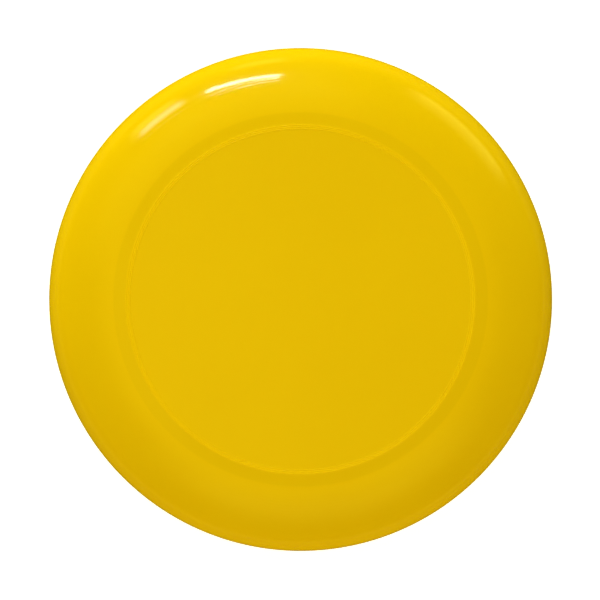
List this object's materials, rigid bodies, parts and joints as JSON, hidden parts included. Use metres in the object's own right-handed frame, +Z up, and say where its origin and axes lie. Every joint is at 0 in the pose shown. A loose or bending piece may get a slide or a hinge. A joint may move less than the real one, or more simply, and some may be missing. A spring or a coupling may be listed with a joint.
{
  "type": "flying disc",
  "caption": "Throwing disc moulded in one piece: flat plate, ring of fine raised lines, finely grooved shoulder and deep rounded rim.",
  "frame": {"origin": "on the disc's axis, in the plane that the foot of its rim stands on", "axes": "+Z up along the disc's axis, out of the top of the plate; the disc is round, so +X and +Y are any two directions across it"},
  "size_m": [0.273, 0.273, 0.032],
  "materials": {
    "disc_plastic": "gloss"
  },
  "bodies": {
    "root": {"disc": "disc_plastic"}
  },
  "joints": []
}
